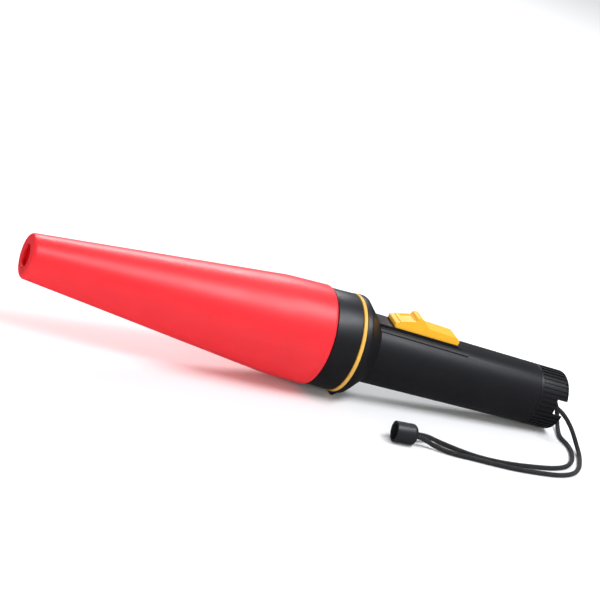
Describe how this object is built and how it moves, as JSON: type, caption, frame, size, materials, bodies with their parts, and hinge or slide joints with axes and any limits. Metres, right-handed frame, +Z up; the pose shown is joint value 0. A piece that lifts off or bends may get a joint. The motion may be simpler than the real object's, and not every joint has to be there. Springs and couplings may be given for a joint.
{
  "type": "flashlight with signal wand",
  "caption": "Handheld flashlight with a slip-on tapered signal wand, thumb switch, screw bezel and tail cap, and wrist lanyard.",
  "frame": {"origin": "bottom centre of the light and wand on the surface they lie on, without the lanyard cord and its bell", "axes": "+X along the light towards the tail cap, -X towards the wand's tip, -Y towards the lanyard's side, +Z up, with the switch on top"},
  "size_m": [0.3682, 0.1093, 0.0654],
  "materials": {
    "wand_red": "translucent moulded vinyl, satin gloss",
    "body_black": "satin black moulding with a fine grain",
    "ring_yellow": "dull yellow moulding",
    "switch_yellow": "satin amber moulding",
    "lens_clear": "clear polished sheet",
    "reflector_silver": "vacuum-metallised moulding",
    "lamp_glass": "clear blown envelope",
    "contact_brass": "bright stamped strip",
    "spring_steel": "drawn wire and stamped sheet",
    "holder_plastic": "natural moulding",
    "cell_metal": "drawn can",
    "cell_sleeve": "plain shrink sleeve",
    "seal_rubber": "moulded ring",
    "cord_black": "braided cord",
    "bell_grey": "satin dark grey moulding"
  },
  "bodies": {
    "barrel": {"barrel": "body_black", "trim_ring": "ring_yellow", "front_contact_strip": "contact_brass", "rear_contact_strip": "contact_brass", "front_cell_can": "cell_metal", "front_cell_jacket": "cell_sleeve", "rear_cell_can": "cell_metal", "rear_cell_jacket": "cell_sleeve"},
    "optics": {"reflector": "reflector_silver", "lens": "lens_clear", "lamp_base": "contact_brass", "lamp_dome": "lamp_glass", "lamp_holder": "holder_plastic", "lamp_contact": "contact_brass"},
    "bezel": {"bezel": "body_black", "lens_gasket": "seal_rubber"},
    "wand": {"wand_cone": "wand_red"},
    "switch": {"switch_slider": "switch_yellow", "switch_carrier": "holder_plastic", "switch_bridge": "contact_brass", "detent_leaves": "spring_steel"},
    "tail_contact": {"tail_spring": "spring_steel", "spring_plate": "spring_steel"},
    "tail_cap": {"tail_cap": "body_black", "tail_gasket": "seal_rubber", "lanyard_leg_notch": "cord_black", "lanyard_leg_rim": "cord_black", "lanyard_knot": "cord_black", "lanyard_bell": "bell_grey"}
  },
  "joints": [
    {"name": "optics_advance", "type": "slide", "parent": "barrel", "child": "optics", "axis": [-0.9967, 0, 0.0816], "range_m": [0, 0.0045]},
    {"name": "bezel_turn", "type": "hinge", "parent": "optics", "child": "bezel", "pos_m": [0.02671, 0, 0.03119], "axis": [-0.9967, 0, 0.0816], "range_deg": [0, 540]},
    {"name": "wand_pull", "type": "slide", "parent": "bezel", "child": "wand", "axis": [-0.9967, 0, 0.0816], "range_m": [0, 0.045]},
    {"name": "switch_slide", "type": "slide", "parent": "barrel", "child": "switch", "axis": [-0.9954, 0, 0.0956], "range_m": [0, 0.007]},
    {"name": "cap_advance", "type": "slide", "parent": "barrel", "child": "tail_contact", "axis": [0.9967, 0, -0.0816], "range_m": [0, 0.006]},
    {"name": "cap_turn", "type": "hinge", "parent": "tail_contact", "child": "tail_cap", "pos_m": [0.17621, 0, 0.01894], "axis": [0.9967, 0, -0.0816], "range_deg": [0, 720]}
  ],
  "couplings": [
    {"joint": "optics_advance", "follows": "bezel_turn", "m_per_rad": 0.00047746},
    {"joint": "cap_advance", "follows": "cap_turn", "m_per_rad": 0.00047746}
  ]
}
